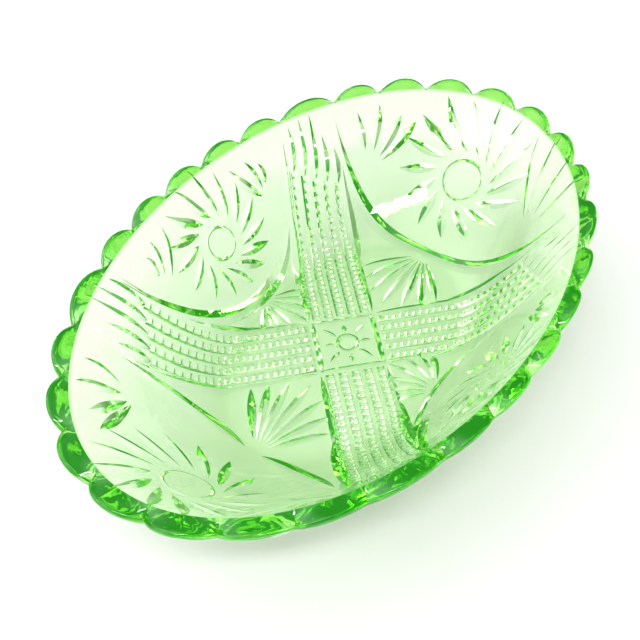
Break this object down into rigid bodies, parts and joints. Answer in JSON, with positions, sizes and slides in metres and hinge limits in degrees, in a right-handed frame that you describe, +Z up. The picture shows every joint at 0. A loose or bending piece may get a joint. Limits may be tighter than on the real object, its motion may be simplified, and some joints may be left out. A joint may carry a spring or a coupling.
{
  "type": "dish",
  "caption": "Oval dish in clear green pressed glass, with a scalloped rim, crossing file bands and swirl medallions moulded into the outside.",
  "frame": {"origin": "centre of the underside, on the surface that the dish stands on", "axes": "+X along the long axis of the oval, +Y across it, +Z up out of the bowl"},
  "size_m": [0.215, 0.143, 0.048],
  "materials": {
    "green_glass": "fire-polished pressed glass, clear vivid green where it is thick"
  },
  "bodies": {
    "root": {"glass_dish": "green_glass"}
  },
  "joints": []
}
